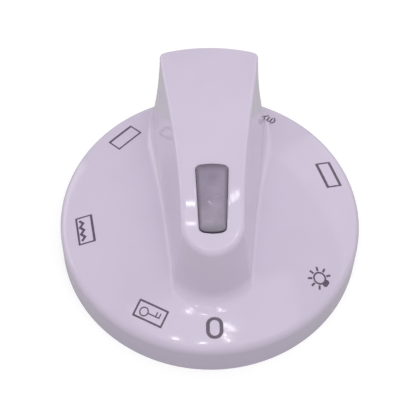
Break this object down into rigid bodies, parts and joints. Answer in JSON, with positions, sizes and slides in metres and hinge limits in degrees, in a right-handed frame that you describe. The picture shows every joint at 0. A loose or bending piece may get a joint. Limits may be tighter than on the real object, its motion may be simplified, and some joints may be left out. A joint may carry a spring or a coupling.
{
  "type": "oven function knob",
  "caption": "Round control knob: domed skirt, tapered bar grip that runs to the rear rim, tinted window in its crown, and a flatted shaft bore in a ribbed hub.",
  "frame": {"origin": "on the turning axis, in the plane of the skirt's foot ring, which faces the control panel", "axes": "+Z along the turning axis away from the panel; -Y towards the nose of the grip, +Y towards its tail at the rim; +X to the right"},
  "size_m": [0.056, 0.056, 0.0247],
  "materials": {
    "white_moulding": "glossy, very slightly lilac white",
    "tinted_window": "glossy, smoke-tinted translucent",
    "spring_steel": "rolled spring strip"
  },
  "bodies": {
    "root": {"knob_body": "white_moulding", "indicator_lens": "tinted_window", "shaft_spring": "spring_steel"}
  },
  "joints": []
}
